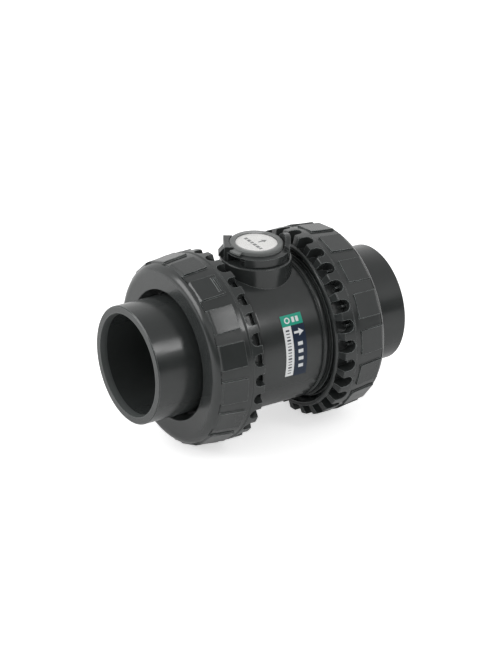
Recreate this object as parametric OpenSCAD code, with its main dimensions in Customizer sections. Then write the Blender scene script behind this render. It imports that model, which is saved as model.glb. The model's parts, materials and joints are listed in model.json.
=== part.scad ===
// True-union ball check valve for 2 inch (DN 50) plastic pipe, with solvent-weld sockets.
// The flow runs along +X. The origin is the centre of the inlet socket's pipe stop and +Z is up.
// Every sub-part is drawn about the valve's centre and then moved out along +X by at_centre().
// Stations along the flow axis are distances from the valve's centre, so both ends share them.

/* [Pipe ends] */
// Length from one socket mouth to the other
overall_length = 174.6; // [172:0.2:180]
// Inside diameter of each pipe socket
socket_d = 60.6; // [60.4:0.1:61]
// Depth of each pipe socket
socket_depth = 38; // [34:1:38]
// Outside diameter of each end connector's tube
tube_d = 71.4; // [68:0.2:72]

/* [Body] */
// Outside diameter of the body's barrel
barrel_d = 88.8; // [88:0.2:89.2]
// Diameter of the round boss on top of the body
boss_d = 43; // [42.8:0.1:44]
// Height of the boss's top above the flow axis
boss_z = 51.7; // [51.6:0.1:51.8]

/* [Union nuts] */
// Outside diameter over the plain rim of a union nut
nut_d = 114.8; // [114:0.2:116]
// Number of gear pockets round the inner end of a nut
pocket_count = 29; // [24:1:29]
// Number of raised grip pads round a nut
pad_count = 16; // [12:1:18]
// Angle that one grip pad spans
pad_angle = 15; // [12:1:16]
// Radial room between the body's thread root and the nut's, which holds both thread ridges
thread_room = 2; // [1.8:0.1:2.2]

/* [Ball] */
// Diameter of the ball over its rubber coat
ball_d = 58; // [57.6:0.1:58]
// How far the ball moves from its seat to its stops
ball_travel = 14; // [10:1:14]

/* [Hidden] */
$fn = 96;

pvc = "#5f6262";
pvc_light = "#6d7070";
seal_rubber = "#1c1d1e";

// Small gap left between parts that touch without moving
gap = 0.05;
// Overlap that makes two added solids one, and run-past of a cutter
bite = 0.5;

half_length = overall_length / 2;
barrel_r = barrel_d / 2;
tube_r = tube_d / 2;
socket_r = socket_d / 2;
nut_r = nut_d / 2;
ball_r = ball_d / 2;
boss_r = boss_d / 2;

// Body stations and radii
body_face_x = 44;
shoulder_x = 19.5;
shoulder_round = 3.2;
groove_x = 22.5;
groove_depth = 1.2;
bead_drop = 0.2;
bead_x0 = 23;
bead_x1 = 25.5;
thread_x = 27;
thread_root_r = barrel_r + 0.6;
cavity_r = 37.5;
cavity_end_x = 30;
outlet_port_r = 26;
outlet_port_x = 38;
carrier_bore_r = 38.75;
carrier_bore_x = 26;

// Ball guide ribs in the body
rib_width = 3;
rib_x0 = -20;
rib_x1 = 36;
rib_tip_r = 20;
rib_clearance = 0.4;
stop_gap = 0.1;

// Seat, seals and ball
seal_section_r = 1.5;
face_seal_mean_r = 41.9;
face_groove_r0 = 40.2;
face_groove_r1 = 43.6;
face_groove_depth = 2.9;
face_seal_squeeze = 0.15;
carrier_seal_mean_r = 37.2;
carrier_seal_x = -38;
carrier_groove_half = 1.7;
carrier_key_slot = [4.8, 6, 9];
seat_seal_section_r = 2.65;
seat_seal_mean_r = 27;
seat_seal_x = -24.5;
seat_contact_gap = 0.02;
carrier_x0 = -43.8;
carrier_x1 = -23.6;
carrier_port_r = 24.5;
carrier_seat_r = 29.7;
washer_t = 1.2;
coat_t = 2.5;
ball_x = seat_seal_x
    + sqrt(pow(ball_r + seat_seal_section_r + seat_contact_gap, 2) - pow(seat_seal_mean_r, 2));

// End connector stations and radii
flange_x0 = 44.2;
flange_x1 = 50.5;
flange_r = 43.8;
connector_port_r = 25;
// Flared lead-in at each socket's mouth
lead_in_length = 4.3;
lead_in_rise = 0.9;
edge_cut = 0.6;

// Union nut stations and radii
lip_x = 25.4;
tooth_x = 28.5;
rim_x = 36.5;
pad_x0 = 40;
pad_x1 = 56.2;
band_end_x = 53.6;
nut_end_x = 60.4;
shoulder_face_x = 50.6;
// The grip band tapers towards the front, and its flat pads stand pad_rise above it at their middle
band_rear_r = nut_r - 0.8;
band_mid_x = 48;
band_mid_r = nut_r - 1.8;
band_front_r = nut_r - 2.4;
pad_rise = 0.7;
pad_width = 2 * nut_r * sin(pad_angle / 2);
// Centre and radius of the rounded front edge
front_round_r = 48.9;
front_round_x = 54.4;
front_radius = 6;
hole_round = 0.8;
lip_taper = 1.2;
lip_r0 = 48.8;
lip_r1 = 51.5;
nut_bore_r = thread_root_r + thread_room;
flange_clear_r = flange_r + 0.8;
nut_hole_r = 37.2;
nut_hole_mouth_r = 39.5;
nut_hole_depth = 4.6;
nut_bore_end_x = 46;
pocket_r = 3.7;
pocket_floor_r = 49.6;
pocket_end_x = 35.3;
web_t = 1.2;
line_length = 11;
line_pitch = 1.3;
line_width = 0.5;
line_rise = 0.1;

// First pad and first pocket of each nut, as angles about +X counted from the top
inlet_pad_start = 1.5;
inlet_pocket_start = 25.7;
outlet_pad_start = 14.2;
outlet_pocket_start = 19.5;

// Tag housing, its cover and its screw
housing_r = 19.4;
housing_rim_z = 56.9;
housing_top_z = 57.8;
housing_rim_r = 16.4;
cover_r = 16;
cover_base_z = 57.05;
cover_top_z = 60.3;
cover_wall_r = 12.6;
cover_plate_t = 0.7;
disc_r = 12.35;
disc_z = 58.9;
disc_t = 0.6;
pedestal_r = 12.3;
spigot_r = 12.9;
spigot_z = 44.8;
boss_bore_z = 44.5;
boss_foot_z = 30;
boss_edge_cut = 0.5;
boss_bore_r = 13;
tab_direction = 150;
tab_face = 19.3;
tab_half_width = 8.4;
tab_top_z = 60.3;
tab_hollow_r = 16.25;
gusset_reach = 3;
gusset_half_width = 3.2;
gusset_lip_z = 53.6;
gusset_top_z = 57.4;
tongue_direction = -20;
tongue_half_angle = 26;
tongue_r0 = 17.2;
tongue_r1 = 20.2;
tongue_arch_r = 9.8;
tongue_top_z = 63.6;
window_start = 178;
window_angle = 39;
window_floor_r = 13.2;
window_top_z = 56.65;
latch_direction = 200;
latch_slot = [3, 3, 2.8];
thumb_lip = [184, 22, 3.6, 1];
screw_hole_r = 1.7;
screw_pilot_r = 1.6;
screw_pilot_z = 39.5;
screw_r = 1.5;
screw_z = 40.2;
screw_head_r = 3.9;
screw_seat_z = 55.85;
screw_head_t = 2.4;

// Printed labels on the barrel, [x0, x1, first angle, last angle] from the top towards -Y
label_t = 0.15;
green_label = [-5.5, 9, 52.1, 60.6];
white_label = [-5.4, 0.2, 60.7, 101];
navy_label = [0.5, 9.3, 61, 102];

module at_centre() translate([half_length - socket_depth, 0, 0]) children();

// Turns an outline of [radius, x] points round the flow axis
module about_flow(angle = 360) rotate([0, 90, 0]) rotate([0, 0, 180]) rotate_extrude(angle = angle) children();

// Builds one end's part on the +X side, or turns it round to the -X side
module on_side(side) rotate([0, 0, side > 0 ? 0 : 180]) children();

// A ring about the flow axis with an outer and an inner radius
module ring_x(r0, r1, x0, x1) about_flow() translate([r0, x0]) square([r1 - r0, x1 - x0]);

// A plain round bore or bar along the flow axis
module bar_x(r, x0, x1) translate([x0, 0, 0]) rotate([0, 90, 0]) cylinder(r = r, h = x1 - x0);

// A bar along Z
module bar_z(r, z0, z1) translate([0, 0, z0]) cylinder(r = r, h = z1 - z0);

// A seal ring about the flow axis
module o_ring(mean_r, section_r, x) about_flow() translate([mean_r, x]) circle(r = section_r, $fn = 32);

// Points on a round stretch of an outline
function round_points(centre, r, a0, a1, steps = 6) =
    [for (i = [0:steps]) let (a = a0 + (a1 - a0) * i / steps) centre + r * [cos(a), sin(a)]];

// Outside of the body from its middle to one end face
outer_half = concat(
    [[barrel_r, 0], [barrel_r, shoulder_x]],
    round_points([barrel_r - shoulder_round, shoulder_x], shoulder_round, 12, 50, 4),
    [[barrel_r - groove_depth, groove_x], [barrel_r - groove_depth / 2, groove_x + 0.3]],
    [[barrel_r - bead_drop, bead_x0 + 0.6], [barrel_r - bead_drop, bead_x1 - 0.6]],
    [[barrel_r - 0.6, bead_x1], [barrel_r - groove_depth, bead_x1 + 0.4], [barrel_r - groove_depth, thread_x - 0.4]],
    [[thread_root_r, thread_x], [thread_root_r, body_face_x - 0.5], [thread_root_r - 0.5, body_face_x]],
    [[face_groove_r1, body_face_x], [face_groove_r1, body_face_x - face_groove_depth]],
    [[face_groove_r0, body_face_x - face_groove_depth], [face_groove_r0, body_face_x]]
);

// Turns the outline round the flow axis with its bores, from the inlet face to the outlet face
module body_outline() {
    last = len(outer_half) - 1;
    polygon(concat(
        [for (i = [last:-1:1]) [outer_half[i][0], -outer_half[i][1]]],
        [for (i = [1:last]) outer_half[i]],
        [[outlet_port_r, body_face_x], [outlet_port_r, outlet_port_x], [cavity_r, cavity_end_x]],
        [[cavity_r, -carrier_bore_x], [carrier_bore_r, -carrier_bore_x], [carrier_bore_r, -body_face_x]]
    ));
}

module guide_ribs() {
    open_x = ball_x + ball_travel;
    difference() {
        for (i = [0:3]) rotate([45 + 90 * i, 0, 0])
            translate([rib_x0, -rib_width / 2, rib_tip_r])
                cube([rib_x1 - rib_x0, rib_width, cavity_r + bite - rib_tip_r]);
        about_flow() polygon(concat(
            [[0, rib_x0 - 1], [ball_r + rib_clearance, rib_x0 - 1], [ball_r + rib_clearance, open_x]],
            round_points([0, open_x], ball_r + stop_gap, 0, 90, 16)
        ));
    }
}

module boss() {
    difference() {
        union() {
            bar_z(boss_r, boss_foot_z, boss_z - boss_edge_cut);
            translate([0, 0, boss_z - boss_edge_cut])
                cylinder(r1 = boss_r, r2 = boss_r - boss_edge_cut, h = boss_edge_cut);
        }
        bar_x(cavity_r + 2, -boss_r - 1, boss_r + 1);
    }
}

module valve_body() at_centre() color(pvc) {
    difference() {
        union() {
            about_flow() body_outline();
            boss();
        }
        bar_z(boss_bore_r, boss_bore_z, boss_z + 1);
        bar_z(screw_pilot_r, screw_pilot_z, boss_bore_z + 1);
    }
    guide_ribs();
}

module ball_core() at_centre() color("#8a8c8c") translate([ball_x, 0, 0]) sphere(r = ball_r - coat_t);

module ball_coating() at_centre() color(seal_rubber) translate([ball_x, 0, 0]) difference() {
    sphere(r = ball_r);
    sphere(r = ball_r - coat_t + 0.02);
}

module seat_seal() at_centre() color(seal_rubber) o_ring(seat_seal_mean_r, seat_seal_section_r, seat_seal_x);

module anti_extrusion_ring() at_centre() color(pvc_light) {
    floor_x = seat_seal_x - seat_seal_section_r - gap;
    ring_x(carrier_port_r + 0.1, carrier_seat_r - 0.1, floor_x - washer_t, floor_x);
}

module seat_carrier() at_centre() color(pvc_light) difference() {
    union() {
        bar_x(carrier_bore_r - gap, carrier_x0, -carrier_bore_x - gap);
        bar_x(cavity_r - 0.2, -carrier_bore_x - 1, carrier_x1);
    }
    bar_x(carrier_port_r, carrier_x0 - 1, carrier_x1 + 1);
    bar_x(carrier_seat_r, seat_seal_x - seat_seal_section_r - 2 * gap - washer_t, carrier_x1 + 1);
    ring_x(carrier_seal_mean_r - seal_section_r - 0.1, carrier_bore_r + 1,
        carrier_seal_x - carrier_groove_half, carrier_seal_x + carrier_groove_half);
    // Slots for the key that screws the carrier in
    for (i = [0:3]) rotate([90 * i, 0, 0])
        translate([carrier_x0 - 1, -carrier_key_slot[1] / 2, carrier_port_r - 2]) cube(carrier_key_slot);
}

module carrier_o_ring() at_centre() color(seal_rubber)
    o_ring(carrier_seal_mean_r, seal_section_r, carrier_seal_x);

module face_o_ring(side) at_centre() color(seal_rubber) on_side(side)
    o_ring(face_seal_mean_r, seal_section_r, body_face_x - seal_section_r + face_seal_squeeze);

module end_connector(side) at_centre() color(pvc) on_side(side) {
    about_flow() polygon([
        [connector_port_r, flange_x0], [flange_r - edge_cut, flange_x0], [flange_r, flange_x0 + edge_cut],
        [flange_r, flange_x1 - edge_cut], [flange_r - edge_cut, flange_x1], [tube_r + 1, flange_x1],
        [tube_r, flange_x1 + 1], [tube_r, half_length - edge_cut], [tube_r - edge_cut, half_length],
        [socket_r + lead_in_rise, half_length], [socket_r, half_length - lead_in_length],
        [socket_r, half_length - socket_depth], [connector_port_r, half_length - socket_depth]
    ]);
}

// Gear pocket cutter, lying over the top of the nut
module gear_pocket() {
    round_x = pocket_end_x - pocket_r;
    difference() {
        union() {
            translate([lip_x + lip_taper + 0.2, -pocket_r, pocket_floor_r])
                cube([round_x - lip_x - lip_taper - 0.2, 2 * pocket_r, nut_r + 1 - pocket_floor_r]);
            translate([round_x, 0, pocket_floor_r]) cylinder(r = pocket_r, h = nut_r + 1 - pocket_floor_r);
            translate([lip_x - 4, -pocket_r, lip_r1 + 0.2]) cube([8, 2 * pocket_r, nut_r + 1 - lip_r1]);
        }
        translate([round_x + 0.6, -web_t / 2, pocket_floor_r - 1]) cube([8, web_t, 5]);
    }
}

module nut_outline() {
    polygon(concat(
        // Mouth and lip at the end next to the barrel
        [[nut_bore_r, tooth_x], [lip_r0, lip_x + lip_taper]],
        round_points([lip_r0 + 0.8, lip_x + 0.8], 0.8, 180, 270),
        round_points([lip_r1 - lip_taper, lip_x + lip_taper], lip_taper, -90, 0),
        // Face of the gear teeth, plain rim and the band that carries the pads
        [[nut_r - 0.4, tooth_x - 0.2], [nut_r, tooth_x + 0.3]],
        [[nut_r, rim_x - 0.4], [band_rear_r, rim_x + 0.4]],
        [[band_rear_r, pad_x0 - 1], [band_mid_r, band_mid_x], [band_front_r, band_end_x]],
        // Rounded front edge and flat front face
        round_points([front_round_r, front_round_x], front_radius, 10, 90, 10),
        round_points([nut_hole_mouth_r + hole_round, nut_end_x - hole_round], hole_round, 80, 180, 4),
        // Hole for the end connector's tube
        [[nut_hole_r, nut_end_x - nut_hole_depth], [nut_hole_r, shoulder_face_x]],
        [[flange_clear_r, shoulder_face_x], [flange_clear_r, nut_bore_end_x], [nut_bore_r, nut_bore_end_x]]
    ));
}

// Flat grip pad over the top of the nut, ending in a small step at the front edge
module grip_pad() rotate([0, 0, -90]) rotate([0, -90, 0]) linear_extrude(pad_width, center = true) polygon([
    [band_mid_r - 2, pad_x0], [band_rear_r + pad_rise, pad_x0], [band_mid_r + pad_rise, band_mid_x],
    [band_front_r + pad_rise, pad_x1 - 1.4], [band_front_r + pad_rise - 0.35, pad_x1 - 0.2],
    [band_front_r - 1, pad_x1 + 0.6], [band_mid_r - 2, pad_x1 + 0.6]
]);

module union_nut(pad_start, pocket_start) {
    difference() {
        about_flow() nut_outline();
        for (i = [0:pocket_count - 1]) rotate([pocket_start + 360 * i / pocket_count, 0, 0]) gear_pocket();
    }
    for (i = [0:pad_count - 1]) rotate([pad_start + 360 * i / pad_count, 0, 0]) grip_pad();
}

module outlet_union_nut() at_centre() color(pvc) union_nut(outlet_pad_start, outlet_pocket_start);

// Turned round to the inlet side, angles about +X change sign
module inlet_union_nut() at_centre() color(pvc) on_side(-1) {
    union_nut(-inlet_pad_start, -inlet_pocket_start);
    // Three short raised lines on one pad
    for (i = [0:2]) rotate([-inlet_pad_start - 360 / pad_count, 0, 0])
        translate([pad_x0 + line_pitch * (i + 0.4), -line_length / 2, band_mid_r])
            cube([line_width, line_length, band_rear_r + pad_rise + line_rise - band_mid_r]);
}

// Turns a shape that faces +X to a direction round +Z
module facing(direction) rotate([0, 0, direction]) children();

// A ring sector about the boss's axis, centred on a direction
module sector_z(r0, r1, z0, z1, direction, half_angle) rotate([0, 0, direction - half_angle])
    rotate_extrude(angle = 2 * half_angle) translate([r0, z0]) square([r1 - r0, z1 - z0]);

// Arched finger tongue that follows the wall
module housing_tongue() intersection() {
    sector_z(tongue_r0, tongue_r1, boss_z + gap, tongue_top_z + 1, tongue_direction, tongue_half_angle);
    facing(tongue_direction) rotate([90, 0, 90]) linear_extrude(tongue_r1 + 1) {
        translate([-tongue_arch_r, 0]) square([2 * tongue_arch_r, tongue_top_z - tongue_arch_r]);
        translate([0, tongue_top_z - tongue_arch_r]) circle(r = tongue_arch_r);
    }
}

// Flat-faced block beside the cover, with a short gusset on its outer face
module housing_tab() facing(tab_direction) {
    difference() {
        translate([0, -tab_half_width, boss_z + gap])
            cube([tab_face, 2 * tab_half_width, tab_top_z - boss_z - gap]);
        bar_z(tab_hollow_r, boss_z - 1, tab_top_z + 1);
    }
    translate([0, gusset_half_width, 0]) rotate([90, 0, 0]) linear_extrude(2 * gusset_half_width) polygon([
        [tab_face - bite, boss_z + gap], [tab_face + gusset_reach, boss_z + gap],
        [tab_face + gusset_reach, gusset_lip_z], [tab_face, gusset_top_z], [tab_face - bite, gusset_top_z]
    ]);
}

module tag_housing() at_centre() color(pvc) {
    base_z = boss_z + gap;
    difference() {
        union() {
            rotate_extrude() polygon([
                [0, base_z], [housing_r - 0.3, base_z], [housing_r, base_z + 0.3], [housing_r, housing_rim_z],
                [housing_rim_r, housing_top_z], [cover_r + 0.1, housing_top_z], [cover_r + 0.1, cover_base_z - gap],
                [0, cover_base_z - gap]
            ]);
            bar_z(pedestal_r, cover_base_z - 1, disc_z - gap);
            bar_z(spigot_r, spigot_z, base_z + 1);
            housing_tongue();
            housing_tab();
        }
        // Window at the front left, open down to the top of the boss
        sector_z(window_floor_r, housing_r + 3, base_z - 1, window_top_z,
            window_start + window_angle / 2, window_angle / 2);
        // Latch slot in the back wall of the window
        facing(latch_direction) translate([window_floor_r - 1.8, -latch_slot[1] / 2, base_z + 0.7])
            cube(latch_slot);
        bar_z(screw_hole_r, spigot_z - 1, disc_z);
        bar_z(screw_head_r + 0.3, screw_seat_z, disc_z + 1);
    }
}

module housing_screw() at_centre() color("#b9bcc0") difference() {
    union() {
        bar_z(screw_r, screw_z, screw_seat_z + 1);
        bar_z(screw_head_r, screw_seat_z + gap, screw_seat_z + screw_head_t);
    }
    // Cross recess
    for (a = [0, 90]) rotate([0, 0, a]) translate([-2.2, -0.4, screw_seat_z + screw_head_t - 1.2])
        cube([4.4, 0.8, 2]);
}

module tag_disc() at_centre() color("white") bar_z(disc_r, disc_z, disc_z + disc_t);

module clear_cover() at_centre() color([0.8, 0.82, 0.82, 0.5]) {
    plate_z = cover_top_z - cover_plate_t;
    rotate_extrude() polygon(concat(
        [[0, plate_z], [cover_wall_r, plate_z], [cover_wall_r, cover_base_z], [cover_r, cover_base_z]],
        round_points([cover_r - 0.8, cover_top_z - 0.8], 0.8, 0, 90),
        [[0, cover_top_z]]
    ));
    // Thumb lip above the window
    rotate([0, 0, thumb_lip[0]]) rotate_extrude(angle = thumb_lip[1])
        translate([cover_r - bite, cover_top_z - thumb_lip[3] - 0.9]) square([thumb_lip[2] + bite, thumb_lip[3]]);
}

// A label lies on the barrel; its angles run from the top towards -Y
module barrel_label(extent, paint) at_centre() color(paint) rotate([extent[2], 0, 0])
    about_flow(extent[3] - extent[2]) translate([barrel_r + 0.02, extent[0]])
        square([label_t, extent[1] - extent[0]]);

module seal_material_label() barrel_label(green_label, "#0d9a78");
module serial_label() barrel_label(white_label, "#f2f3f3");
module maker_label() barrel_label(navy_label, "#1d2f4f");

module inlet_socket_o_ring() face_o_ring(-1);
module outlet_socket_o_ring() face_o_ring(1);
module inlet_end_connector() end_connector(-1);
module outlet_end_connector() end_connector(1);

valve_body();
ball_core();
ball_coating();
seat_seal();
anti_extrusion_ring();
seat_carrier();
carrier_o_ring();
inlet_socket_o_ring();
outlet_socket_o_ring();
inlet_end_connector();
outlet_end_connector();
inlet_union_nut();
outlet_union_nut();
tag_housing();
housing_screw();
tag_disc();
clear_cover();
seal_material_label();
serial_label();
maker_label();
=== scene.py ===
"""A grey plastic true-union ball check valve, dressed over its CAD frame.

The flow runs along +X. Lengths are millimetres and MM turns them into metres, except that bump depths and
the studio are in metres. Angles round the flow axis are degrees from the top (+Z) towards -Y, the side that
the camera sees.
"""
import json
import math

import bmesh
import bpy
from mathutils import Matrix, Vector


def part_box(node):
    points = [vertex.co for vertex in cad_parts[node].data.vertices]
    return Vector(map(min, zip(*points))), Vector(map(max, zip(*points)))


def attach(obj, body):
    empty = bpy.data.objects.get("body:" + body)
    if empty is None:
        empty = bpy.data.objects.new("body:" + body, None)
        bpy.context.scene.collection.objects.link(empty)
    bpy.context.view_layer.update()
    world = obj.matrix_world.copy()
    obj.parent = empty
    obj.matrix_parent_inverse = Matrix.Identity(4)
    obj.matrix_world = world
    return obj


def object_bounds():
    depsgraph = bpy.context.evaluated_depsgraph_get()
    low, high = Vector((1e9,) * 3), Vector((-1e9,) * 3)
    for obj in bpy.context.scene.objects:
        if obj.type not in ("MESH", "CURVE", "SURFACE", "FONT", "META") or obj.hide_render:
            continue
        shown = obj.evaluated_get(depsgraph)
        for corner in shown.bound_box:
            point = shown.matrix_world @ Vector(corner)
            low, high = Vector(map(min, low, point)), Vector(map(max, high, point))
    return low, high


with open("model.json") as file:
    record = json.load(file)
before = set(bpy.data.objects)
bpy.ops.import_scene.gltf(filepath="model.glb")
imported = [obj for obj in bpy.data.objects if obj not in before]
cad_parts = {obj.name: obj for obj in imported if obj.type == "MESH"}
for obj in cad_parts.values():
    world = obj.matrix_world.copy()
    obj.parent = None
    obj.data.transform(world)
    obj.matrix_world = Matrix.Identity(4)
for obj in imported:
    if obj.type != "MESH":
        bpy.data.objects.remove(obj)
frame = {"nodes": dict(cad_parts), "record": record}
cad_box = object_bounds()

NODES = frame["nodes"]
MM = 0.001


def centre_x():
    low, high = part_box("valve_body")
    return (low[0] + high[0]) / 2 / MM


CENTRE = centre_x()
THREAD_ROOT_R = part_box("valve_body")[1][1] / MM
BARREL_R = THREAD_ROOT_R - 0.6
# Ink sinks this far into what it is printed on, and stands this far above it
INK_SUNK = 0.02
INK_RISE = 0.02
DISC_INK_RISE = 0.04


# ---------------------------------------------------------------- meshes

def at(x, r, angle):
    """A point in metres from its place along the axis, its radius and its angle from the top."""
    a = math.radians(angle)
    return Vector((CENTRE + x, -r * math.sin(a), r * math.cos(a))) * MM


def add_piece(mesh, material, body):
    """Puts a mesh into the scene, riding on a body of the frame."""
    mesh.materials.append(material)
    obj = bpy.data.objects.new(mesh.name, mesh)
    bpy.context.scene.collection.objects.link(obj)
    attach(obj, body)
    return obj


def new_object(name, verts, faces, material, body, smooth=True):
    mesh = bpy.data.meshes.new(name)
    mesh.from_pydata([tuple(v) for v in verts], [], faces)
    mesh.validate()
    bm = bmesh.new()
    bm.from_mesh(mesh)
    bmesh.ops.recalc_face_normals(bm, faces=bm.faces)
    bm.to_mesh(mesh)
    bm.free()
    for face in mesh.polygons:
        face.use_smooth = smooth
    return add_piece(mesh, material, body)


# ---------------------------------------------------------------- material nodes

class Nodes:
    """A short way to build a node tree for a material, or for a world if one is given."""

    def __init__(self, name, world=None):
        self.material = world or bpy.data.materials.new(name)
        self.material.use_nodes = True
        self.tree = self.material.node_tree
        self.shader = self.tree.nodes["Background" if world else "Principled BSDF"]
        coords = self.tree.nodes.new("ShaderNodeTexCoord")
        self.place = coords.outputs["Generated" if world else "Object"]

    def add(self, kind, **values):
        node = self.tree.nodes.new(kind)
        for key, value in values.items():
            setattr(node, key, value)
        return node

    def link(self, source, target):
        self.tree.links.new(source, target)

    def noise(self, scale, detail=4.0, rough=0.55, stretch=None):
        node = self.add("ShaderNodeTexNoise")
        node.inputs["Scale"].default_value = scale
        node.inputs["Detail"].default_value = detail
        node.inputs["Roughness"].default_value = rough
        source = self.place
        if stretch:
            mapping = self.add("ShaderNodeMapping")
            mapping.inputs["Scale"].default_value = stretch
            self.link(source, mapping.inputs["Vector"])
            source = mapping.outputs["Vector"]
        self.link(source, node.inputs["Vector"])
        return node.outputs["Fac"]

    def remap(self, value, low, high, to_low, to_high, kind="LINEAR"):
        node = self.add("ShaderNodeMapRange", interpolation_type=kind)
        limits = {"From Min": low, "From Max": high, "To Min": to_low, "To Max": to_high}
        for key, number in limits.items():
            node.inputs[key].default_value = number
        self.link(value, node.inputs["Value"])
        return node.outputs["Result"]

    def ramp(self, value, low, high, to_low=0.0, to_high=1.0):
        """A smooth step from one value to another."""
        return self.remap(value, low, high, to_low, to_high, "SMOOTHSTEP")

    def spread(self, noise, low, high):
        """The middle of a noise's range, stretched to run from low to high."""
        return self.remap(noise, 0.3, 0.7, low, high)

    def mix(self, factor, first, second):
        node = self.add("ShaderNodeMix", data_type="RGBA")
        for name, value in (("Factor", factor), ("A", first), ("B", second)):
            if isinstance(value, (int, float, tuple)):
                node.inputs[name].default_value = value
            else:
                self.link(value, node.inputs[name])
        return node.outputs["Result"]

    def math(self, operation, *values):
        node = self.add("ShaderNodeMath", operation=operation)
        for socket, value in zip(node.inputs, values):
            if isinstance(value, (int, float)):
                socket.default_value = value
            else:
                self.link(value, socket)
        return node.outputs["Value"]

    def length(self, a, b):
        """The length of a vector from its two parts."""
        return self.math("SQRT", self.math("ADD", self.math("MULTIPLY", a, a), self.math("MULTIPLY", b, b)))

    def axes(self):
        node = self.add("ShaderNodeSeparateXYZ")
        self.link(self.place, node.inputs[0])
        return node.outputs[0], node.outputs[1], node.outputs[2]

    def bump(self, height, distance, strength=1.0, normal=None):
        node = self.add("ShaderNodeBump")
        node.inputs["Distance"].default_value = distance
        node.inputs["Strength"].default_value = strength
        self.link(height, node.inputs["Height"])
        if normal:
            self.link(normal, node.inputs["Normal"])
        return node.outputs["Normal"]


def shade(colour, k):
    return (colour[0] * k, colour[1] * k, colour[2] * k, 1.0)


EDGE_ROUND = 0.45
EDGE_OPEN_AIR = 1.2
# Each socket's lead-in lies further out than this, and within this radius
MOUTH_X = 83.2
MOUTH_R = 31.7
# The cover turns from clear to milky between these radii
COVER_CLEAR_R = 12.3
COVER_RIM_R = 12.9


def socket_mouth(n):
    """One on the machined lead-in at each socket mouth, zero elsewhere: the mask for the painted light
    there and for its higher roughness.
    """
    x, y, z = n.axes()
    along = n.math("ABSOLUTE", n.math("SUBTRACT", x, CENTRE * MM))
    outside = n.math("GREATER_THAN", along, MOUTH_X * MM)
    inside = n.math("LESS_THAN", n.length(y, z), MOUTH_R * MM)
    return n.math("MULTIPLY", outside, inside)


def painted_edge_highlight(n, rounded):
    """A mask for painted edge highlights: how much the rounded normal leans away from the true one, kept to
    the edges that stand proud.
    """
    geometry = n.add("ShaderNodeNewGeometry")
    lean = n.add("ShaderNodeVectorMath", operation="DOT_PRODUCT")
    n.link(geometry.outputs["Normal"], lean.inputs[0])
    n.link(rounded, lean.inputs[1])
    open_air = n.add("ShaderNodeAmbientOcclusion", samples=4)
    open_air.inputs["Distance"].default_value = EDGE_OPEN_AIR * MM
    edge = n.ramp(lean.outputs["Value"], 0.92, 0.998, 1.0, 0.0)
    proud = n.ramp(open_air.outputs["AO"], 0.6, 0.9)
    return n.math("MULTIPLY", edge, proud)


def moulded_plastic(name, colour, roughness=0.2, edge_highlight_gain=7.0):
    """Moulded PVC: cloudy, with faint flow lines and a polished skin. Its proud edges are painted paler by
    the last argument's factor, a painted highlight, and the lead-in at each socket mouth is painted 2.2
    times paler, painted light.
    """
    n = Nodes(name)
    edge_rounding = n.add("ShaderNodeBevel", samples=3)
    edge_rounding.inputs["Radius"].default_value = EDGE_ROUND * MM
    cloud = n.spread(n.noise(55.0, 5.0), 0.0, 1.0)
    body = n.mix(cloud, shade(colour, 0.9), shade(colour, 1.1))
    speck = n.remap(n.noise(2600.0, 2.0), 0.62, 0.72, 0.0, 0.3)
    body = n.mix(speck, body, shade(colour, 1.5))
    patchy = n.remap(n.noise(90.0), 0.35, 0.65, 0.35, 1.0)
    # Painted highlight: proud edges are painted paler, standing in for the light that their rounding
    # catches
    edge = n.math("MULTIPLY", painted_edge_highlight(n, edge_rounding.outputs["Normal"]), patchy)
    body = n.mix(edge, body, shade(colour, edge_highlight_gain))
    mouth = socket_mouth(n)
    # Painted light: the lead-in inside each socket mouth is painted 2.2 times paler, standing in for the
    # strong light from the left
    body = n.mix(mouth, body, shade(colour, 2.2))
    n.link(body, n.shader.inputs["Base Color"])
    patch = n.spread(n.noise(120.0, 6.0, 0.6, (0.35, 1.0, 1.0)), roughness - 0.05, roughness + 0.07)
    n.link(n.math("ADD", patch, n.math("MULTIPLY", mouth, 0.25)), n.shader.inputs["Roughness"])
    skin = n.bump(n.noise(3200.0, 3.0), 0.00001, 0.3, edge_rounding.outputs["Normal"])
    flow = n.bump(n.noise(70.0, 3.0, 0.5, (0.25, 1.0, 1.0)), 0.0003, 0.22, skin)
    n.link(flow, n.shader.inputs["Normal"])
    return n.material


def rubber(name, colour):
    n = Nodes(name)
    n.link(n.mix(n.noise(400.0), shade(colour, 0.8), shade(colour, 1.3)), n.shader.inputs["Base Color"])
    n.link(n.spread(n.noise(300.0), 0.45, 0.6), n.shader.inputs["Roughness"])
    n.link(n.bump(n.noise(2500.0, 2.0), 0.00003, 0.4), n.shader.inputs["Normal"])
    return n.material


def label_film(name, colour):
    """Printed vinyl film: even colour, a soft gloss and slight waviness."""
    n = Nodes(name)
    tone = n.mix(n.noise(180.0, 3.0), shade(colour, 0.96), shade(colour, 1.04))
    n.link(tone, n.shader.inputs["Base Color"])
    n.link(n.spread(n.noise(220.0), 0.28, 0.4), n.shader.inputs["Roughness"])
    n.shader.inputs["Specular IOR Level"].default_value = 0.35
    n.link(n.bump(n.noise(260.0, 3.0), 0.00006, 0.3), n.shader.inputs["Normal"])
    return n.material


def steel(name):
    n = Nodes(name)
    n.shader.inputs["Metallic"].default_value = 1.0
    n.link(n.mix(n.noise(900.0, 3.0, 0.5, (1.0, 1.0, 12.0)), (0.5, 0.5, 0.5, 1), (0.68, 0.68, 0.67, 1)),
           n.shader.inputs["Base Color"])
    n.link(n.spread(n.noise(900.0), 0.22, 0.38), n.shader.inputs["Roughness"])
    return n.material


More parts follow.
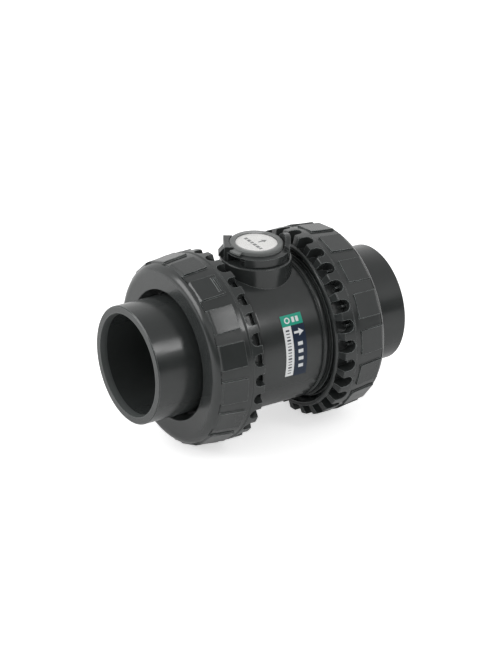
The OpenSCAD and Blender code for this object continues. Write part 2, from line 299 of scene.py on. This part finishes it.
def clear_plastic(name):
    """Clear cover: see-through over the disc, milky grey in its thick rim, with a polished skin."""
    n = Nodes(name)
    x, y, _ = n.axes()
    radius = n.length(n.math("SUBTRACT", x, CENTRE * MM), y)
    rim = n.ramp(radius, COVER_CLEAR_R * MM, COVER_RIM_R * MM)
    grain = n.spread(n.noise(350.0, 3.0), -0.02, 0.02)
    n.link(n.mix(rim, (0.85, 0.87, 0.86, 1), (0.21, 0.22, 0.215, 1)), n.shader.inputs["Base Color"])
    milky = n.math("ADD", n.math("MULTIPLY", rim, 0.62), n.math("ADD", grain, 0.1))
    n.link(milky, n.shader.inputs["Alpha"])
    rough = n.math("ADD", n.spread(n.noise(300.0), 0.08, 0.16), n.math("MULTIPLY", rim, 0.2))
    n.link(rough, n.shader.inputs["Roughness"])
    n.link(n.bump(n.noise(150.0, 2.0), 0.00005, 0.15), n.shader.inputs["Normal"])
    n.shader.inputs["Specular IOR Level"].default_value = 0.3
    return n.material


GREY = (0.030, 0.033, 0.0325)
MATERIALS = {
    "pvc_body": moulded_plastic("pvc_body", GREY),
    "pvc_nut": moulded_plastic("pvc_nut", GREY, 0.17, 13.0),
    "pvc_cap": moulded_plastic("pvc_cap", shade(GREY, 0.95)),
    "pvc_inner": moulded_plastic("pvc_inner", (0.06, 0.063, 0.063), 0.3),
    "pvc_core": moulded_plastic("pvc_core", (0.2, 0.21, 0.21), 0.4),
    "seal_rubber": rubber("seal_rubber", (0.02, 0.02, 0.02)),
    "screw_steel": steel("screw_steel"),
    "tag_white": label_film("tag_white", (0.8, 0.79, 0.775)),
    "clear_plastic": clear_plastic("clear_plastic"),
    "label_green": label_film("label_green", (0.004, 0.32, 0.215)),
    "label_white": label_film("label_white", (0.8, 0.81, 0.81)),
    "label_navy": label_film("label_navy", (0.006, 0.017, 0.042)),
}


# ---------------------------------------------------------------- CAD nodes

BEVELS = {"inlet_union_nut": 0.28, "outlet_union_nut": 0.28, "tag_housing": 0.18, "valve_body": 0.15}
BEVEL_ANGLE = 27
SMOOTH_ANGLE = 38
FLAT_ANGLE = 0.8
WELD = 0.01


def smoothing_group():
    """Geometry nodes that shade every face smooth and keep the edges above SMOOTH_ANGLE sharp."""
    group = bpy.data.node_groups.new("smooth_by_angle", "GeometryNodeTree")
    group.interface.new_socket("Geometry", in_out="INPUT", socket_type="NodeSocketGeometry")
    group.interface.new_socket("Geometry", in_out="OUTPUT", socket_type="NodeSocketGeometry")
    start, end = group.nodes.new("NodeGroupInput"), group.nodes.new("NodeGroupOutput")
    angle = group.nodes.new("GeometryNodeInputMeshEdgeAngle")
    above = group.nodes.new("FunctionNodeCompare")
    above.data_type, above.operation = "FLOAT", "GREATER_THAN"
    above.inputs["B"].default_value = math.radians(SMOOTH_ANGLE)
    smooth = group.nodes.new("GeometryNodeSetShadeSmooth")
    sharp = group.nodes.new("GeometryNodeSetShadeSmooth")
    smooth.domain, sharp.domain = "FACE", "EDGE"
    sharp.inputs["Shade Smooth"].default_value = False
    group.links.new(start.outputs[0], smooth.inputs[0])
    group.links.new(smooth.outputs[0], sharp.inputs[0])
    group.links.new(angle.outputs["Unsigned Angle"], above.inputs["A"])
    group.links.new(above.outputs["Result"], sharp.inputs["Selection"])
    group.links.new(sharp.outputs[0], end.inputs[0])
    return group


def bevel_edges(obj, width):
    """Joins the facets of flat faces, then bevels the edges between them."""
    flat = obj.modifiers.new("flat", "DECIMATE")
    flat.decimate_type = "DISSOLVE"
    flat.angle_limit = math.radians(FLAT_ANGLE)
    bevel = obj.modifiers.new("bevel", "BEVEL")
    bevel.width = width * MM
    bevel.segments = 2
    bevel.limit_method = "ANGLE"
    bevel.angle_limit = math.radians(BEVEL_ANGLE)
    bevel.use_clamp_overlap = False
    bevel.miter_outer = "MITER_ARC"


def dress_cad_nodes():
    """Gives every CAD node its slot's material, clean shading and small bevels on the larger mouldings."""
    smoothing = smoothing_group()
    for part in frame["record"]["subparts"]:
        obj = NODES[part["node"]]
        obj.data.materials.clear()
        obj.data.materials.append(MATERIALS[part["material_slot"]])
        weld = obj.modifiers.new("weld", "WELD")
        weld.merge_threshold = WELD * MM
        if part["node"] in BEVELS:
            bevel_edges(obj, BEVELS[part["node"]])
        obj.modifiers.new("smoothing", "NODES").node_group = smoothing
        normals = obj.modifiers.new("normals", "WEIGHTED_NORMAL")
        normals.keep_sharp = True


# ---------------------------------------------------------------- union threads

THREAD_LEAD = 6.0
THREAD_STEPS = 72
THREAD_BORE_R = THREAD_ROOT_R + 2.0
THREAD_HEIGHT = 1.6
THREAD_SUNK = 0.1
# Start and end of each ridge, from the valve's centre
BODY_THREAD_X = (28.8, 42.4)
NUT_THREAD_X = (30.6, 44.0)


def thread_ridge(name, side, x0, x1, foot_r, crest_r, start, slot, body):
    """A right-handed helical ridge that runs out smoothly at both ends. side is +1 outlet, -1 inlet."""
    foot_w, crest_w = 3.0, 1.5
    cut, cut_rise = 0.15, 0.86
    run_out, thinnest = 0.18, 0.35
    count = int((x1 - x0) / THREAD_LEAD * THREAD_STEPS)
    half_shape = [(foot_w / 2, 0), (crest_w / 2 + cut, cut_rise), (crest_w / 2 - cut, 1)]
    shape = [(-dx, rise) for dx, rise in half_shape] + half_shape[::-1]
    verts = []
    for i in range(count + 1):
        turn = i / THREAD_STEPS
        fade = min(1.0, min(turn, count / THREAD_STEPS - turn) / run_out)
        fade = fade * fade * (3 - 2 * fade)
        for dx, rise in shape:
            x = x0 + THREAD_LEAD * turn + dx * (thinnest + (1 - thinnest) * fade)
            r = foot_r + (crest_r - foot_r) * rise * fade
            verts.append(at(side * x, r, side * (start + 360 * turn)))
    wide = len(shape)
    faces = [(i * wide + j, i * wide + (j + 1) % wide, (i + 1) * wide + (j + 1) % wide, (i + 1) * wide + j)
             for i in range(count) for j in range(wide)]
    faces += [tuple(range(wide)), tuple(count * wide + j for j in reversed(range(wide)))]
    new_object(name, verts, faces, MATERIALS[slot], body)


def make_threads():
    """One ridge on each end of the body, and one in each nut that lies in the groove between its turns."""
    half_lead_behind = 360 * (NUT_THREAD_X[0] - BODY_THREAD_X[0]) / THREAD_LEAD + 180
    body_r = (THREAD_ROOT_R - THREAD_SUNK, THREAD_ROOT_R + THREAD_HEIGHT)
    nut_r = (THREAD_BORE_R + THREAD_SUNK, THREAD_BORE_R - THREAD_HEIGHT)
    for side, end in ((-1, "inlet"), (1, "outlet")):
        nut = end + "_nut"
        thread_ridge(end + "_body_thread", side, *BODY_THREAD_X, *body_r, 0, "pvc_body", "valve_body")
        thread_ridge(nut + "_thread", side, *NUT_THREAD_X, *nut_r, half_lead_behind, "pvc_nut", nut)


# ---------------------------------------------------------------- prints

LABEL_R = BARREL_R + 0.17
GREEN_ANGLE = 56.4
ARROW_ANGLE = 66.5
BLOCK_ANGLE = 75.5
BLOCK_STEP_ANGLE = 6
STRIP_ANGLE = 64
STRIP_BARS = 15
STRIP_STEP = 1.9
# Longest flat stretch round the barrel in a print's bent faces
BEND_STEP = 1.2


def barrel_print(name, outline, material, hole=()):
    """A thin ink patch on a barrel label. Its outline is in mm: x along the flow, s round the barrel."""
    bm = bmesh.new()
    face = bm.faces.new([bm.verts.new((x, s, 0)) for x, s in outline])
    if hole:
        inner = [bm.verts.new((x, s, 0)) for x, s in hole]
        rim = [bm.edges.new((inner[i], inner[(i + 1) % len(inner)])) for i in range(len(inner))]
        edges = list(face.edges) + rim
        bm.faces.remove(face)
        bmesh.ops.triangle_fill(bm, edges=edges, use_beauty=True)
    low, high = min(s for _, s in outline), max(s for _, s in outline)
    for k in range(int(low / BEND_STEP), int(high / BEND_STEP) + 1):
        parts = bm.verts[:] + bm.edges[:] + bm.faces[:]
        bmesh.ops.bisect_plane(bm, geom=parts, plane_co=(0, k * BEND_STEP, 0), plane_no=(0, 1, 0))
    top = bmesh.ops.extrude_face_region(bm, geom=bm.faces[:])
    raised = {v for v in top["geom"] if isinstance(v, bmesh.types.BMVert)}
    for v in bm.verts:
        x, s = v.co.x, v.co.y
        rise = INK_RISE if v in raised else -INK_SUNK
        v.co = at(x, LABEL_R + rise, math.degrees(s / BARREL_R))
    bmesh.ops.recalc_face_normals(bm, faces=bm.faces)
    mesh = bpy.data.meshes.new(name)
    bm.to_mesh(mesh)
    bm.free()
    add_piece(mesh, material, "valve_body")


def box_outline(x0, x1, s0, s1):
    return [(x0, s0), (x1, s0), (x1, s1), (x0, s1)]


def arrow_outline(x0, x1, s, half_shaft, half_head):
    """An arrow along the flow; its head takes the last half of the length."""
    neck = (x0 + x1) / 2
    side = [(x0, half_shaft), (neck, half_shaft), (neck, half_head)]
    return [(x, s - w) for x, w in side] + [(x1, s)] + [(x, s + w) for x, w in reversed(side)]


def ring_points(x, s, r, count=32):
    return [(x + r * math.cos(2 * math.pi * i / count), s + r * math.sin(2 * math.pi * i / count))
            for i in range(count)]


def arc_mm(angle):
    return math.radians(angle) * BARREL_R


def make_prints():
    white = label_film("ink_white", (0.72, 0.74, 0.75))
    dark = label_film("ink_dark", (0.06, 0.065, 0.075))
    # Green label: a seal ring and two bars
    s = arc_mm(GREEN_ANGLE)
    barrel_print("green_ring_mark", ring_points(-1.4, s, 1.9), white, ring_points(-1.4, s, 1.15))
    for i, x in enumerate((1.8, 4.6)):
        barrel_print(f"green_bar_mark_{i + 1}", box_outline(x, x + 1.8, s - 1.6, s + 1.6), white)
    # Navy label: a flow arrow, then plain blocks
    barrel_print("flow_arrow_mark", arrow_outline(1.6, 8.2, arc_mm(ARROW_ANGLE), 0.7, 2.3), white)
    for i in range(4):
        s = arc_mm(BLOCK_ANGLE + BLOCK_STEP_ANGLE * i)
        barrel_print(f"navy_block_mark_{i + 1}", box_outline(3.2, 6.6, s - 1.1, s + 1.1), white)
    # White strip: plain bars of two widths
    for i in range(STRIP_BARS):
        s = arc_mm(STRIP_ANGLE) + STRIP_STEP * i
        half = 0.5 if i % 3 == 0 else 0.27
        barrel_print(f"strip_bar_mark_{i + 1}", box_outline(-3.9, -1.4, s - half, s + half), dark)


def disc_mark(name, outline, material):
    """A thin ink patch on the tag disc, under the cover. Its outline is in mm from the disc's centre."""
    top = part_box("tag_disc")[1][2] / MM
    levels = (top - INK_SUNK, top + DISC_INK_RISE)
    verts = [Vector((CENTRE + x, y, z)) * MM for z in levels for x, y in outline]
    count = len(outline)
    faces = [tuple(range(count)), tuple(range(count, 2 * count))]
    faces += [(i, (i + 1) % count, count + (i + 1) % count, count + i) for i in range(count)]
    new_object(name, verts, faces, material, "tag_cover", smooth=False)


def make_disc_marks():
    grey = label_film("ink_grey", (0.09, 0.095, 0.1))
    blocks = ((7.6, 1.0), (4.3, 1.3), (1.2, 0.9), (-1.8, 1.2), (-5.2, 1.3), (-8.1, 0.7))
    for i, (y, half) in enumerate(blocks):
        disc_mark(f"disc_block_mark_{i + 1}", box_outline(-3.4, -1.2, y - half, y + half), grey)
    disc_mark("disc_arrow_mark", arrow_outline(1.4, 7.4, 0.0, 0.55, 1.9), grey)


# ---------------------------------------------------------------- studio

# The photograph's view of the valve's centre
VIEW_AZIMUTH = -33.281
VIEW_ELEVATION = 23.762
VIEW_ROLL = 4.0
VIEW_DISTANCE = 1736.978
LENS = 156.65
# The picture's centre, in shares of its longer side
LENS_SHIFT = (-0.003726, -0.00158)
ROOM_LIGHT = 0.95
FLOOR_GAP = 0.0002


def tilted(v):
    """Turns a vector of the level view back by the valve's own roll about the flow axis."""
    return Matrix.Rotation(math.radians(-VIEW_ROLL), 3, "X") @ v


def make_camera():
    azimuth, elevation = math.radians(VIEW_AZIMUTH), math.radians(VIEW_ELEVATION)
    back = Vector((math.sin(azimuth) * math.cos(elevation), -math.cos(azimuth) * math.cos(elevation),
                   math.sin(elevation)))
    right = Vector((math.cos(azimuth), math.sin(azimuth), 0.0))
    up = back.cross(right)
    axes = [tilted(v) for v in (right, up, back)]
    data = bpy.data.cameras.new("camera")
    data.sensor_width = 36.0
    data.lens = LENS
    data.shift_x, data.shift_y = LENS_SHIFT
    data.clip_start, data.clip_end = 0.05, 50.0
    camera = bpy.data.objects.new("camera", data)
    bpy.context.scene.collection.objects.link(camera)
    turn = Matrix(axes).transposed().to_4x4()
    eye = (Vector((CENTRE, 0, 0)) + axes[2] * VIEW_DISTANCE) * MM
    camera.matrix_world = Matrix.Translation(eye) @ turn
    bpy.context.scene.camera = camera


def area_light(name, place, target, size, power):
    data = bpy.data.lights.new(name, "AREA")
    data.shape = "RECTANGLE"
    data.size, data.size_y = size
    data.energy = power
    light = bpy.data.objects.new(name, data)
    bpy.context.scene.collection.objects.link(light)
    light.location = place
    light.rotation_mode = "QUATERNION"
    light.rotation_quaternion = (target - place).to_track_quat("-Z", "Y")


def make_world():
    """A white room for the light, with a dim band in front up to a third of the way overhead.

    The camera itself sees plain white.
    """
    world = bpy.data.worlds.new("world")
    bpy.context.scene.world = world
    n = Nodes("world", world)
    x, y, z = n.axes()
    azimuth = math.radians(VIEW_AZIMUTH)
    east, south = n.math("MULTIPLY", x, math.sin(azimuth)), n.math("MULTIPLY", y, -math.cos(azimuth))
    ahead = n.math("ADD", east, south)
    band = n.math("MULTIPLY", n.ramp(z, -0.02, 0.06), n.ramp(z, 0.28, 0.5, 1.0, 0.0))
    dark = n.math("MULTIPLY", band, n.ramp(ahead, 0.0, 0.35))
    room = n.ramp(z, 0.5, 0.95, ROOM_LIGHT, ROOM_LIGHT * 0.6)
    left_lit = n.math("SUBTRACT", 1.0, n.math("MULTIPLY", dark, 0.92))
    n.link(n.math("MULTIPLY", room, left_lit), n.shader.inputs["Strength"])
    n.shader.inputs["Color"].default_value = (1, 1, 1, 1)
    seen = n.add("ShaderNodeBackground")
    path = n.add("ShaderNodeLightPath")
    choose = n.add("ShaderNodeMixShader")
    seen.inputs["Color"].default_value = (1, 1, 1, 1)
    n.link(path.outputs["Is Camera Ray"], choose.inputs[0])
    n.link(n.shader.outputs[0], choose.inputs[1])
    n.link(seen.outputs[0], choose.inputs[2])
    n.link(choose.outputs[0], n.tree.nodes["World Output"].inputs["Surface"])


def make_studio():
    bpy.context.scene.view_settings.view_transform = "Standard"
    make_world()
    bpy.ops.mesh.primitive_plane_add(size=6.0, location=(CENTRE * MM, 0, cad_box[0][2] - FLOOR_GAP))
    floor = bpy.context.object
    floor.name = "floor"
    n = Nodes("floor")
    n.link(n.mix(n.noise(3.0), (0.93, 0.93, 0.93, 1), (0.95, 0.95, 0.95, 1)), n.shader.inputs["Base Color"])
    n.shader.inputs["Roughness"].default_value = 0.9
    n.shader.inputs["Specular IOR Level"].default_value = 0.1
    n.shader.inputs["Emission Color"].default_value = (1, 1, 1, 1)
    seen = n.add("ShaderNodeLightPath").outputs["Is Camera Ray"]
    n.link(n.remap(seen, 0.0, 1.0, 0.12, 0.6), n.shader.inputs["Emission Strength"])
    floor.data.materials.append(n.material)

    middle = Vector((CENTRE * MM, 0, 0))
    area_light("left", middle + Vector((-0.9, 0.35, 0.55)), middle, (0.8, 0.6), 6)
    shoulder = middle + Vector((-0.06, -0.03, 0.03))
    area_light("strip", middle + Vector((0.113, -0.278, 0.293)), shoulder, (0.06, 0.15), 0.19)


make_threads()
make_prints()
make_disc_marks()
dress_cad_nodes()
make_camera()
make_studio()
